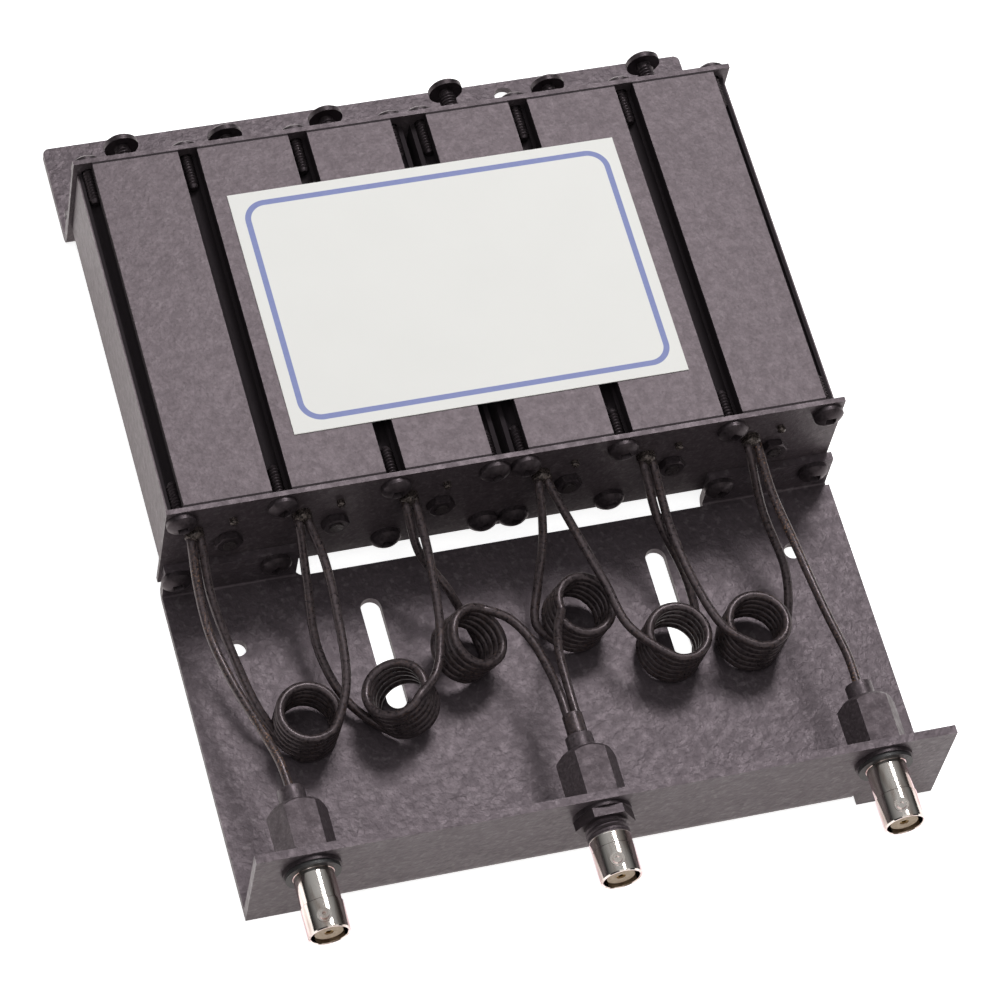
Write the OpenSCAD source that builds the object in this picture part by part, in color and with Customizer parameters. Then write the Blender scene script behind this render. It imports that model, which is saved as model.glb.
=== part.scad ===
// Six-cavity duplexer on a folded sheet tray.
// Millimetres. X runs along the connector flange, Y back through the cavity block, Z up.
// The origin is on the underside of the tray, midway between the two mounting slots.

/* [Tray] */
// Width of the tray and of its front flange
tray_w = 161.5; // [156:0.5:175]
// Thickness of the tray and bracket sheet
sheet_t = 2; // [1.5:0.1:2.4]
// From the slots' centre forward to the front face of the flange
flange_y = 58; // [54:1:66]
// Height of the front flange
flange_h = 29; // [28:0.5:34]
// Outside radius of the front bend
bend_r = 6.2; // [3:0.1:7]
// Width of the flat ear at each end of the flange
ear_w = 20; // [14:0.5:22]
// Width of the relief cut beside each ear
relief_w = 1.8; // [1:0.1:3]
// Depth of the relief cut behind the flange
relief_l = 7; // [6:0.5:10]
// Height of the upturned tabs that carry the block
tab_h = 13.1; // [12.5:0.1:15]
// The right tab stands in from the tray's side edge by this distance
tab_in = 0.9; // [0:0.1:2]
// Outside radius of the tab bends
tab_bend_r = 2.6; // [2.5:0.1:4]
// From the inner edges of the tabs out to the nearest screw of the right half
tab_screw_edge = 2.65; // [2:0.05:4]
// From the tray's cut edge back to the tabs' rear face
cut_gap = 2.6; // [2.6:0.1:5]
// Corner radius at the left end of the cut edge
cut_corner_r = 2; // [1:0.5:3]

/* [Mounting] */
// Width of each mounting slot
slot_w = 4.8; // [4:0.1:6]
// Length of each mounting slot, end to end
slot_l = 28.9; // [20:0.1:32]
// Distance between the two slots
slot_pitch = 68.7; // [60:0.1:80]
// Diameter of the two round holes
hole_d = 4.2; // [3:0.1:6]
// Distance between the two round holes
hole_pitch = 133.8; // [120:0.1:144]
// Round holes behind the slots' centre
hole_y = 7.7; // [0:0.1:12]
// The rear bracket is wider than the end plates by this much at each side
bracket_over = 0.3; // [0:0.1:2]
// Depth of the rear bracket behind the block
bracket_l = 26.9; // [20:0.1:40]
// Offset of the rear bracket from the centre line
bracket_x = -0.8; // [-2:0.1:2]
// Diameter of the hole in the rear bracket
bracket_hole_d = 4.8; // [3:0.1:6]
// Offset of the bracket hole from the centre line
bracket_hole_x = 33.5; // [20:0.5:50]
// Bracket hole from the rear edge
bracket_hole_edge = 4.1; // [3.5:0.1:8]
// Corner radius of the rear bracket
bracket_corner_r = 1.5; // [1:0.5:3]

/* [Cavity block] */
// Width of one end plate, half of the block
plate_w = 80.2; // [79.5:0.1:84]
// Thickness of the end plates
plate_t = 1.2; // [1:0.1:2]
// The housings stand in from the side edges of the plates by this distance
side_gap = 1; // [0.4:0.1:1.4]
// Height of the block
block_h = 30.8; // [29:0.1:33]
// Length of the block over its end plates
block_l = 96.1; // [90:0.1:110]
// Front face of the block behind the slots' centre
block_y = 25.9; // [25:0.1:34]
// Air gap between the tray and the block
stand_off = 3.6; // [3:0.1:7]
// Offset of the seam between the two halves from the centre line
seam_x = -1.4; // [-3:0.1:3]
// Thickness of the side walls of the housings
side_wall = 3.2; // [2.6:0.1:4]
// Thickness of the webs between the cavities
web_t = 2.9; // [2:0.1:4]
// Top and bottom wall of the cavities
skin_t = 2; // [1.2:0.1:3]
// Width of the lower step at each side of the top and bottom faces
step_w = 3.35; // [3:0.05:3.9]
// Thickness of the ribs outside the outer screw channels
rib_t = 1.1; // [0.6:0.05:1.2]
// Offset of the inner screw channels outwards from the middle of the webs
channel_offset = 0.75; // [0:0.05:1.2]
// Width of the mouths of the inner screw channels
channel_w = 4.6; // [3.6:0.1:5]
// Diameter of the round bottoms of the screw channels
port_d = 3.1; // [3.05:0.05:3.2]
// Wall round each channel
channel_wall = 1.2; // [0.8:0.1:1.6]

/* [Label] */
// Offset of the label from the seam
label_x = -0.45; // [-1:0.05:1]
// Width of the label
label_w = 93.6; // [60:0.1:120]
// Length of the label
label_l = 65.4; // [40:0.1:80]
// Thickness of the label
label_t = 0.25; // [0.1:0.05:0.5]
// Middle of the label behind the block's front face
label_y = 47.5; // [42:0.1:52]

/* [Screws] */
// Head diameter of the plate screws
screw_head_d = 7.1; // [5.5:0.1:7.2]
// Head height of the plate screws
screw_head_h = 2.8; // [2:0.1:3.4]
// Shank diameter of the plate screws
screw_d = 3; // [2.6:0.1:3]
// Length of the plate screws under the head
screw_l = 10; // [8:0.5:14]
// Screw rows from the top and the bottom of the block
screw_edge = 4.1; // [3.6:0.1:4.4]

/* [Tuning screws] */
// Thread diameter of the tuning screws
tuner_d = 4.15; // [3.8:0.05:4.3]
// Head diameter of the tuning screws
tuner_head_d = 8.2; // [7:0.1:9]
// Head height of the tuning screws
tuner_head_h = 2.9; // [2:0.1:4]
// Length of the tuning screws under the head
tuner_l = 38; // [36:0.5:42]
// Tuning screws stand out of the rear plates by these lengths under the head
stick_out = [11.6, 10.1, 11.1, 13.6, 10.6, 13.1]; // [8:0.1:14]
// Width across the flats of the lock nuts
lock_nut_af = 8.7; // [7:0.1:10]
// Thickness of the lock nuts
lock_nut_t = 3; // [2:0.1:3.5]
// Radial clearance of the tuning screws in plates and nuts
tuner_gap = 0.05; // [0.02:0.01:0.08]

/* [Resonators] */
// Outside diameter of the resonator rods
rod_d = 7; // [6.6:0.1:7.2]
// Length of the resonator rods
rod_l = 77; // [70:0.5:80]
// Bore of the rods' hollow rear ends
rod_bore = 5.4; // [5.35:0.05:5.5]
// Depth of the rods' hollow rear ends
rod_bore_l = 30; // [28:0.5:36]
// Diameter of the studs that hold the rods
stud_d = 3.2; // [3:0.1:3.8]
// Studs stand out of the front plates by this length
stud_l = 2.3; // [2:0.1:5]
// Width across the flats of the stud nuts
stud_nut_af = 5.8; // [5.4:0.1:6.4]
// Thickness of the stud nuts
stud_nut_t = 1.9; // [1.5:0.1:2.6]
// Wall of the guide sleeves on the tuning screws
sleeve_wall = 0.5; // [0.4:0.05:0.55]
// Length of the guide sleeves
sleeve_l = 14; // [10:0.5:16]
// Thickness of the closed end of the guide sleeves
sleeve_end = 1; // [0.5:0.1:2]

/* [Coupling loops] */
// Wire diameter of the coupling loops
loop_d = 1.6; // [1:0.1:1.8]
// Hot legs of the loops to the left of their cavities' centres
hot_leg_x = [8.4, 8.3, 8.2, 7.2, 6.9, 6.4]; // [6:0.1:8.6]
// Grounded leg of each loop to the right of its cavity's centre
ground_leg_x = 0.6; // [0.4:0.1:2]
// Height of the hot legs above the cavity's centre
loop_z = 5.7; // [5:0.1:6]
// Height of the grounded legs above the hot legs
ground_up = 2.7; // [0:0.1:3]
// Reach of the loops into the cavity
loop_l = 12; // [8:0.5:16]
// Diameter of the insulating bushes round the hot legs
bush_d = 3.4; // [2.6:0.1:4]
// Diameter of the soldered heads in front of the plates
solder_d = 4.6; // [4.2:0.1:5]
// Thickness of the soldered heads
solder_t = 1.2; // [0.8:0.1:1.6]
// Diameter of the beads on the grounded legs
bead_d = 1.8; // [1.7:0.1:1.9]
// Beads stand out of the front plates by this length
bead_t = 0.9; // [0.5:0.1:1.2]

/* [Connectors] */
// Distance between the connectors
conn_pitch = 66.2; // [60:0.1:68]
// Offset of the middle connector from the centre line
conn_x = -1.6; // [-3:0.1:3]
// Height of the connector axes
conn_z = 21.6; // [19:0.1:22]
// Connectors stand out of the flange by this length
conn_l = 16.4; // [15:0.1:18]
// Diameter of the barrels over the bayonet half
barrel_d = 9.6; // [9.5:0.05:9.8]
// Diameter of the barrels behind the step
barrel_root_d = 9.2; // [9:0.05:9.4]
// From the mouth back to the step
step_l = 7; // [6:0.1:8]
// Bore of the barrels' mouths
mouth_bore = 8.3; // [8.1:0.05:8.4]
// Depth of the barrels' mouths
mouth_l = 9; // [6:0.1:9.5]
// From the mouth back to the middle of the bayonet lugs
lug_back = 3; // [2.4:0.1:5]
// Diameter of the bayonet lugs
lug_d = 2.2; // [1.8:0.1:2.4]
// Distance across both lugs
lug_span = 11; // [10.6:0.1:11.2]
// Lugs lean over from the vertical by this angle
lug_angle = 11; // [0:1:20]
// Diameter of the threaded necks
neck_d = 9.5; // [8.5:0.05:9.55]
// Width across the flats of the hex bodies behind the flange
hex_af = 12; // [11:0.1:13]
// Length of the hex bodies
hex_l = 12.7; // [10:0.1:15]
// Diameter of the dielectric
dielectric_d = 6.4; // [4.8:0.1:6.6]
// Dielectric stops this far inside the mouth
dielectric_in = 0.7; // [0.2:0.1:2]
// Diameter of the centre contacts
contact_d = 2.1; // [1.8:0.1:2.4]
// Hole in the centre contacts
contact_hole = 1.35; // [1:0.05:1.5]
// Diameter of the panel washers
washer_d = 13.4; // [12.5:0.1:14]
// Thickness of the panel washers
washer_t = 1; // [0.6:0.1:1.4]
// Thickness of the seal rings of the outer connectors
seal_t = 0.9; // [0.6:0.1:1.2]
// Thickness of the middle connector's nut
front_nut_t = 2.2; // [1.6:0.1:3]
// Diameter of the cable ferrules
ferrule_d = 6.2; // [5:0.1:6.6]
// Length of the cable ferrules
ferrule_l = 5; // [4:0.1:6]
// Diameter of the sleeve round the two middle leads
pair_sleeve_d = 4.6; // [4.4:0.1:5]
// Length of the sleeve round the two middle leads
pair_sleeve_l = 5; // [3:0.1:7]

/* [Cables] */
// Diameter of the cables
cable_d = 2.1; // [1.8:0.1:2.2]
// Radius of the coils at the middle of the cable
coil_r = 6.75; // [5.5:0.05:7]
// Turns of each coil
coil_turns = 6; // [4:1:7]
// Height gained by one turn
turn_h = 2.05; // [1.8:0.05:2.1]

/* [Hidden] */
$fn = 48;
eps = 0.01;
// Clearance of fixed shanks, necks and studs in their holes, on the diameter
hole_play = 0.2;
cavities_per_half = 3;
cavity_count = 2 * cavities_per_half;
half_tray = tray_w / 2;
block_z = sheet_t + stand_off;
block_top = block_z + block_h;
axis_z = block_z + block_h / 2;
back_y = block_y + block_l;
body_l = block_l - 2 * plate_t;
body_w = plate_w - 2 * side_gap;
cavity_w = (body_w - 2 * side_wall - 2 * web_t) / 3;
cavity_pitch = cavity_w + web_t;
plateau_w = body_w - 2 * step_w;
inner_channel_x = cavity_pitch / 2 + channel_offset;
outer_channel_x = body_w / 2 - rib_t - port_d / 2;
cut_w = 2 * (half_x(1) + inner_channel_x - tab_screw_edge);
bracket_w = 2 * (plate_w + bracket_over);
top_row_z = block_top - screw_edge;
bottom_row_z = block_z + screw_edge;
channels = [-outer_channel_x, -inner_channel_x, inner_channel_x, outer_channel_x];
cross_l = 0.55 * screw_head_d;
cross_w = 0.14 * screw_head_d;
cross_d = 0.5 * screw_head_h;
sleeve_bore = tuner_d + 2 * tuner_gap;
sleeve_od = sleeve_bore + 2 * sleeve_wall;
ridge_count = 3;

// Colours
tray_paint = [0.30, 0.27, 0.29];
body_paint = [0.42, 0.39, 0.41];
plate_paint = [0.13, 0.12, 0.13];
steel_black = [0.12, 0.11, 0.12];
nickel = [0.75, 0.73, 0.70];
silvered = [0.80, 0.80, 0.78];
brass = [0.72, 0.58, 0.30];
ptfe = [0.90, 0.88, 0.82];
tan_resin = [0.62, 0.48, 0.34];
cable_black = [0.10, 0.09, 0.09];
label_white = [0.92, 0.92, 0.92];

// Coils: middle of the top turn in X and Y, then the two tilts in degrees
coils = [[-57.2, -17.1, 4, 1], [-37.5, -15.7, -4, -23], [-14.8, -6.3, 7, 22],
    [11.4, -2.7, 6, 11], [30.6, -13.9, 4, 5], [49.7, -14.4, 2, 5]];

function half_x(side) = seam_x + side * plate_w / 2;
function cavity_x(i) = half_x(i < cavities_per_half ? -1 : 1)
    + (i % cavities_per_half - 1) * cavity_pitch;
function connector_x(i) = conn_x + (i - 2) * conn_pitch;

// Where cables leave the ferrules and where they meet the hot legs of the loops
ferrule_end_y = -flange_y + sheet_t + hex_l + ferrule_l;
function gland(i, side = 0) = [connector_x(i) + side * cable_d / 2,
    i == 2 ? ferrule_end_y + pair_sleeve_l : ferrule_end_y, conn_z];
function hot(i, side, before = 0) = [cavity_x(i) - hot_leg_x[i] + side * (cable_d / 2 + 0.1),
    block_y - solder_t - before, axis_z + loop_z];

// Straight length of each cable in front of the soldered heads
stub = 1.8;

// Leads and tails, each a route from one end to the other
lead_1_route = [gland(1), [-68.4, -31.5, 21.5], [-70, -23, 20], [-73.5, -8, 18],
    [-75.5, 4, 18.2], [-76, 15, 21.5], hot(0, -1, stub), hot(0, -1)];
lead_3_route = [hot(5, 1), hot(5, 1, stub), [59.5, 13, 22.5], [61.5, 2, 20], [63.5, -18, 20],
    [64.6, -31, 21.5], gland(3)];
tails_1_routes = [
    [hot(0, 1), hot(0, 1, stub), [-73.2, 13, 19.5], [-70.6, 1, 13], [-66.8, -13, 8.5],
        [-63, -22, 4.6]],
    [[-52.4, -21.8, 14.8], [-48, -13, 16], [-46.2, 4, 18.8], [-46.6, 16, 22.5],
        hot(1, 1, stub), hot(1, 1)]];
tails_2_routes = [
    [hot(1, -1), hot(1, -1, stub), [-50.6, 14, 17.5], [-50.6, 0, 9.5], [-46.2, -12.5, 5.4],
        [-41.5, -20, 3.6]],
    [[-32.2, -20.4, 16.8], [-27.6, -14.5, 16.6], [-24.2, -5, 17.2], [-22.8, 12, 21.5],
        hot(2, 1, stub), hot(2, 1)]];
tails_3_routes = [
    [hot(2, -1), hot(2, -1, stub), [-24, 15, 18.8], [-18.5, 7.5, 13], [-12.6, 1.8, 6.2]],
    [[-11.6, 0.8, 15.4], [-7.6, -4, 16.2], [-4.4, -11, 17.5], [-3, -20, 19.4],
        [-2.7, -28, 21.3], gland(2, -1)]];
tails_4_routes = [
    [hot(3, -1), hot(3, -1, stub), [5.2, 14, 17.5], [2.6, 5.5, 10.2], [0.8, -2, 6.6],
        [3, -6.5, 4.6]],
    [[4.7, -4, 15.9], [2.4, -9, 17.6], [0.4, -16, 19.8], [-0.4, -26, 21.2],
        gland(2, 1)]];
tails_5_routes = [
    [hot(3, 1), hot(3, 1, stub), [12, 14, 20.5], [16.4, 0, 17], [19.2, -11, 15.6],
        [27, -20.4, 14.4]],
    [[36.2, -12.5, 4.2], [38.4, -6, 5.2], [37.6, 2, 9.2], [32.4, 13.5, 19],
        hot(4, -1, stub), hot(4, -1)]];
tails_6_routes = [
    [hot(4, 1), hot(4, 1, stub), [34.6, 11, 19.2], [36.8, -3, 16.6], [41, -15.5, 15.2],
        [46.4, -20.6, 14.4]],
    [[54.8, -17, 4], [59.4, -10.5, 4.8], [61, -1, 9.5], [58, 12, 16.5],
        hot(5, -1, stub), hot(5, -1)]];

// Turns a profile drawn in Y and Z into a bar along X, centred on x = 0
module along_x(length) {
    rotate([90, 0, 90])
        linear_extrude(height = length, center = true)
            children();
}

// Turns a shape drawn up Z so that it points forward, along -Y
module forward() {
    rotate([90, 0, 0])
        children();
}

// Turns a shape drawn up Z so that it points back, along +Y
module backward() {
    rotate([-90, 0, 0])
        children();
}

// Quarter of a folded sheet: the bend lies on the origin's side of its tangents
module bend_profile(radius) {
    difference() {
        circle(r = radius);
        circle(r = radius - sheet_t);
        translate([0, -2 * radius])
            square(4 * radius);
        translate([-2 * radius, 0])
            square(4 * radius);
    }
}

// A hole up Z through anything up to its height
module drill(d, h) {
    translate([0, 0, -h / 2])
        cylinder(d = d, h = h);
}

// A slot along Y with round ends, cut up Z
module slot_cut(w, l, h) {
    straight = l - w;
    translate([-w / 2, -straight / 2, -h / 2])
        cube([w, straight, h]);
    for (end = [-1, 1])
        translate([0, end * straight / 2, 0])
            drill(w, h);
}

module tab(width) {
    translate([0, block_y - tab_bend_r, tab_bend_r])
        mirror([0, 1, 0])
            along_x(width)
                bend_profile(tab_bend_r);
    translate([-width / 2, block_y - sheet_t, tab_bend_r])
        cube([width, sheet_t, tab_h - tab_bend_r]);
}

module tray() {
    tab_w = (tray_w - cut_w) / 2;
    mid_w = tray_w - 2 * ear_w;
    foot_w = ear_w - relief_w;
    floor_front = -flange_y + bend_r;
    floor_end = block_y - tab_bend_r;
    cut_y = block_y - cut_gap;
    color(tray_paint)
        difference() {
            union() {
                translate([-half_tray, floor_front, 0])
                    cube([tray_w, cut_y - floor_front, sheet_t]);
                for (side = [-1, 1])
                    let (w = side > 0 ? tab_w - tab_in : tab_w)
                        translate([side * (cut_w + w) / 2, 0, 0]) {
                            translate([-w / 2, cut_y - eps, 0])
                                cube([w, floor_end - cut_y + 2 * eps, sheet_t]);
                            tab(w);
                        }
                translate([0, floor_front, bend_r])
                    along_x(mid_w)
                        bend_profile(bend_r);
                translate([-half_tray, -flange_y, bend_r])
                    cube([tray_w, sheet_t, flange_h - bend_r]);
                for (side = [-1, 1])
                    translate([side * (half_tray - foot_w / 2), -flange_y, 0]) {
                        translate([-foot_w / 2, 0, 0])
                            cube([foot_w, sheet_t, flange_h]);
                        translate([-foot_w / 2, 0, 0])
                            cube([foot_w, bend_r + eps, sheet_t]);
                    }
                corner_fillet(cut_y);
            }
            for (side = [-1, 1]) {
                translate([side * (half_tray - ear_w + relief_w / 2),
                    -flange_y + sheet_t + relief_l / 2, sheet_t / 2])
                    cube([relief_w, relief_l, 2 * sheet_t], center = true);
                translate([side * slot_pitch / 2, 0, sheet_t / 2])
                    slot_cut(slot_w, slot_l, 2 * sheet_t);
                translate([side * hole_pitch / 2, hole_y, sheet_t / 2])
                    drill(hole_d, 2 * sheet_t);
            }
            for (i = [1:3])
                translate([connector_x(i), -flange_y + sheet_t / 2, conn_z])
                    forward()
                        drill(neck_d + hole_play, 2 * sheet_t);
            tab_screw_holes();
        }
}

// Rounds the left end of the cut edge where it turns into the tab
module corner_fillet(cut_y) {
    translate([-cut_w / 2, cut_y, 0])
        linear_extrude(height = sheet_t)
            difference() {
                square(cut_corner_r);
                translate([cut_corner_r, cut_corner_r])
                    circle(r = cut_corner_r);
            }
}

// The outer two bottom screws at each end of the front pass through the tabs
module tab_screw_holes() {
    for (side = [-1, 1])
        for (channel = channels)
            translate([half_x(side) + channel, block_y - sheet_t / 2, bottom_row_z])
                forward()
                    drill(screw_d + hole_play, 2 * sheet_t);
}

module rear_bracket() {
    rear_y = back_y + bracket_l;
    floor_start = back_y + tab_bend_r;
    color(tray_paint)
        translate([bracket_x, 0, 0])
            difference() {
                union() {
                    translate([0, floor_start, tab_bend_r])
                        along_x(bracket_w)
                            bend_profile(tab_bend_r);
                    translate([-bracket_w / 2, back_y, tab_bend_r])
                        cube([bracket_w, sheet_t, tab_h - tab_bend_r]);
                    bracket_floor(floor_start, rear_y);
                }
                translate([bracket_hole_x - bracket_x, rear_y - bracket_hole_edge, sheet_t / 2])
                    drill(bracket_hole_d, 2 * sheet_t);
                for (side = [-1, 1])
                    for (channel = channels)
                        translate([half_x(side) + channel - bracket_x, back_y + sheet_t / 2,
                            bottom_row_z])
                            forward()
                                drill(screw_d + hole_play, 2 * sheet_t);
            }
}

module bracket_floor(start_y, rear_y) {
    r = bracket_corner_r;
    translate([-bracket_w / 2, start_y, 0])
        cube([bracket_w, rear_y - r - start_y, sheet_t]);
    translate([-bracket_w / 2 + r, start_y, 0])
        cube([bracket_w - 2 * r, rear_y - start_y, sheet_t]);
    for (side = [-1, 1])
        translate([side * (bracket_w / 2 - r), rear_y - r, 0])
            cylinder(r = r, h = sheet_t);
}

// Section of one extruded housing: three cavities, screw channels open to top and bottom
module housing_profile() {
    difference() {
        square([body_w, block_h - 2 * screw_edge], center = true);
        cavities();
    }
    difference() {
        square([plateau_w, block_h], center = true);
        cavities();
        for (channel = [-inner_channel_x, inner_channel_x])
            for (end = [-1, 1])
                translate([channel, end * block_h / 2])
                    square([channel_w, 2 * screw_edge], center = true);
    }
}

module cavities() {
    difference() {
        for (i = [-1:1])
            translate([i * cavity_pitch, 0])
                square([cavity_w, block_h - 2 * skin_t], center = true);
        for (channel = channels)
            for (end = [-1, 1])
                translate([channel, end * (block_h / 2 - screw_edge)]) {
                    circle(d = port_d + 2 * channel_wall);
                    translate([0, end * screw_edge / 2])
                        square([channel_w + 2 * channel_wall, screw_edge], center = true);
                }
    }
}

module housing(side) {
    color(body_paint)
        translate([half_x(side), block_y + plate_t + body_l, axis_z])
            forward()
                linear_extrude(height = body_l)
                    difference() {
                        housing_profile();
                        for (channel = channels)
                            for (end = [-1, 1])
                                translate([channel, end * (block_h / 2 - screw_edge)])
                                    circle(d = port_d);
                    }
}

// One end plate, its front face at y, with one hole at each cavity's centre
module end_plate(side, y, cavity_hole_d, front) {
    color(plate_paint)
        difference() {
            translate([half_x(side) - plate_w / 2, y, block_z])
                cube([plate_w, plate_t, block_h]);
            for (channel = channels)
                for (z = [top_row_z, bottom_row_z])
                    translate([half_x(side) + channel, y + plate_t / 2, z])
                        forward()
                            drill(screw_d + hole_play, 2 * plate_t);
            for (i = [-1:1]) {
                translate([half_x(side) + i * cavity_pitch, y + plate_t / 2, axis_z])
                    forward()
                        drill(cavity_hole_d, 2 * plate_t);
                if (front)
                    translate([half_x(side) + i * cavity_pitch, y + plate_t / 2, axis_z + loop_z])
                        loop_holes(hot_leg_x[i + (side < 0 ? 1 : 1 + cavities_per_half)]);
            }
        }
}

module loop_holes(hot_x) {
    translate([-hot_x, 0, 0])
        forward()
            drill(bush_d, 2 * plate_t);
    translate([ground_leg_x, 0, ground_up])
        forward()
            drill(loop_d, 2 * plate_t);
}

module front_plate(side) {
    end_plate(side, block_y, stud_d + hole_play, true);
}

module rear_plate(side) {
    end_plate(side, back_y - plate_t, tuner_d + 2 * tuner_gap, false);
}

module label() {
    color(label_white)
        translate([seam_x + label_x - label_w / 2, block_y + label_y - label_l / 2, block_top])
            cube([label_w, label_l, label_t]);
}

// Pan head seen from its underside at z = 0, with a cross recess in its crown
module pan_head(d, h) {
    rim_h = 0.5 * h;
    crown_r = (pow(d / 2, 2) + pow(h - rim_h, 2)) / (2 * (h - rim_h));
    difference() {
        intersection() {
            cylinder(d = d, h = h);
            translate([0, 0, h - crown_r])
                sphere(r = crown_r, $fn = 96);
        }
        for (turn = [0, 90])
            rotate([0, 0, turn])
                translate([-cross_l / 2, -cross_w / 2, h - cross_d])
                    cube([cross_l, cross_w, cross_d + 1]);
    }
}

// One plate screw with its head's underside at z = 0
module plate_screw() {
    pan_head(screw_head_d, screw_head_h);
    translate([0, 0, -screw_l])
        cylinder(d = screw_d, h = screw_l + eps);
}

module screw_row(y, z, out) {
    color(steel_black)
        for (side = [-1, 1])
            for (channel = channels)
                translate([half_x(side) + channel, y, z])
                    rotate([out * 90, 0, 0])
                        plate_screw();
}

module front_top_screws() {
    screw_row(block_y, top_row_z, 1);
}

// Screws on the tabs stand one sheet further forward than the others
module front_bottom_screws() {
    color(steel_black)
        for (side = [-1, 1])
            for (channel = channels)
                let (x = half_x(side) + channel)
                let (on_tab = abs(x) > cut_w / 2)
                    translate([x, on_tab ? block_y - sheet_t : block_y, bottom_row_z])
                        forward()
                            plate_screw();
}

module rear_top_screws() {
    screw_row(back_y, top_row_z, -1);
}

module rear_bottom_screws() {
    screw_row(back_y + sheet_t, bottom_row_z, -1);
}

module resonators(first) {
    color(silvered)
        for (i = [first:first + cavities_per_half - 1])
            translate([cavity_x(i), block_y + plate_t, axis_z])
                backward()
                    difference() {
                        union() {
                            cylinder(d = rod_d, h = rod_l);
                            translate([0, 0, -plate_t - stud_l])
                                cylinder(d = stud_d, h = plate_t + stud_l + eps);
                        }
                        translate([0, 0, rod_l - rod_bore_l])
                            cylinder(d = rod_bore, h = rod_bore_l + 1);
                    }
}

module hex_nut(af, t, bore) {
    difference() {
        cylinder(d = af / cos(30), h = t, $fn = 6);
        translate([0, 0, -1])
            cylinder(d = bore, h = t + 2);
    }
}

module resonator_nuts() {
    color(steel_black)
        for (i = [0:cavity_count - 1])
            translate([cavity_x(i), block_y, axis_z])
                forward()
                    hex_nut(stud_nut_af, stud_nut_t, stud_d + hole_play);
}

// Loop of wire: two legs through the front plate and a thinner bar across their far ends
module coupling_loops() {
    color(brass)
        for (i = [0:cavity_count - 1])
            translate([cavity_x(i), block_y, axis_z + loop_z]) {
                translate([-hot_leg_x[i], 0, 0])
                    loop_leg(solder_d, solder_t);
                translate([ground_leg_x, 0, ground_up])
                    loop_leg(bead_d, bead_t);
                span = ground_leg_x + hot_leg_x[i];
                translate([-hot_leg_x[i], plate_t + loop_l, 0])
                    rotate([0, 90 - atan2(ground_up, span), 0])
                        cylinder(d = 0.8 * loop_d, h = sqrt(span * span + ground_up * ground_up));
            }
}

module loop_leg(head_d, head_t) {
    backward()
        cylinder(d = loop_d, h = plate_t + loop_l + loop_d / 2);
    forward()
        cylinder(d = head_d, h = head_t);
}

module loop_bushes() {
    color(ptfe)
        for (i = [0:cavity_count - 1])
            translate([cavity_x(i) - hot_leg_x[i], block_y, axis_z + loop_z])
                backward()
                    difference() {
                        cylinder(d = bush_d, h = plate_t);
                        translate([0, 0, -1])
                            cylinder(d = loop_d, h = plate_t + 2);
                    }
}

module tuning_lock_nuts() {
    color(steel_black)
        for (i = [0:cavity_count - 1])
            translate([cavity_x(i), back_y, axis_z])
                backward()
                    hex_nut(lock_nut_af, lock_nut_t, tuner_d + 2 * tuner_gap);
}

module tuning_screw(i) {
    color(steel_black)
        translate([cavity_x(i), back_y + stick_out[i], axis_z])
            backward() {
                pan_head(tuner_head_d, tuner_head_h);
                translate([0, 0, -tuner_l])
                    cylinder(d = tuner_d, h = tuner_l + eps);
            }
}

// Guide sleeve closed at the front, the screw's tip turns against its inner end
module tuning_sleeve(i) {
    tip_y = back_y + stick_out[i] - tuner_l;
    color(ptfe)
        translate([cavity_x(i), tip_y - sleeve_end, axis_z])
            backward()
                difference() {
                    cylinder(d = sleeve_od, h = sleeve_l);
                    translate([0, 0, sleeve_end])
                        cylinder(d = sleeve_bore, h = sleeve_l);
                }
}

// Outline of a connector shell in front of the flange, radius against height
module shell_profile(threaded) {
    neck_end = washer_t + seal_t;
    root_d = threaded ? neck_d : barrel_root_d;
    step = conn_l - step_l;
    polygon([[dielectric_d / 2, -sheet_t - eps], [neck_d / 2, -sheet_t - eps],
        [neck_d / 2, neck_end], [root_d / 2, neck_end], [root_d / 2, step - 0.2],
        [barrel_d / 2, step], [barrel_d / 2, conn_l - 0.25], [barrel_d / 2 - 0.25, conn_l],
        [mouth_bore / 2 + 0.15, conn_l], [mouth_bore / 2, conn_l - 0.15],
        [mouth_bore / 2, conn_l - mouth_l], [dielectric_d / 2, conn_l - mouth_l]]);
}

module connector(i) {
    threaded = i == 2;
    color(nickel)
        translate([connector_x(i), -flange_y, conn_z])
            forward() {
                difference() {
                    union() {
                        rotate_extrude()
                            shell_profile(threaded);
                        if (threaded)
                            thread_ridges();
                        lugs();
                    }
                    translate([0, 0, conn_l - mouth_l])
                        cylinder(d = mouth_bore, h = mouth_l - 0.2);
                }
                hex_body();
            }
}

module ring(od, t, bore) {
    difference() {
        cylinder(d = od, h = t);
        translate([0, 0, -1])
            cylinder(d = bore, h = t + 2);
    }
}

// Coarse ridges that stand for the thread in front of the middle connector's nut
module thread_ridges() {
    for (j = [0:ridge_count - 1])
        translate([0, 0, washer_t + front_nut_t + 0.4 + j])
            ring(neck_d + 0.3, 0.5, dielectric_d + 1);
}

module lugs() {
    for (turn = [0, 180])
        rotate([0, 0, turn])
            translate([0, 0, conn_l - lug_back])
                rotate([0, 0, lug_angle])
                    rotate([-90, 0, 0])
                        difference() {
                            union() {
                                cylinder(d = lug_d, h = lug_span / 2);
                                cylinder(d = lug_d + 1.1, h = barrel_d / 2 + 0.15);
                            }
                            translate([0, 0, lug_span / 2 - 0.4])
                                cylinder(d = 0.4 * lug_d, h = 1);
                        }
}

// Hex body behind the flange, its rear corners turned down to a cone
module hex_body() {
    corner = hex_af / cos(30);
    translate([0, 0, -sheet_t - hex_l])
        difference() {
            intersection() {
                cylinder(d = corner, h = hex_l, $fn = 6);
                cylinder(d1 = hex_af - 1, d2 = hex_af - 1 + 2 * hex_l, h = hex_l);
            }
            translate([0, 0, 1])
                cylinder(d = dielectric_d, h = hex_l);
        }
}

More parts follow.
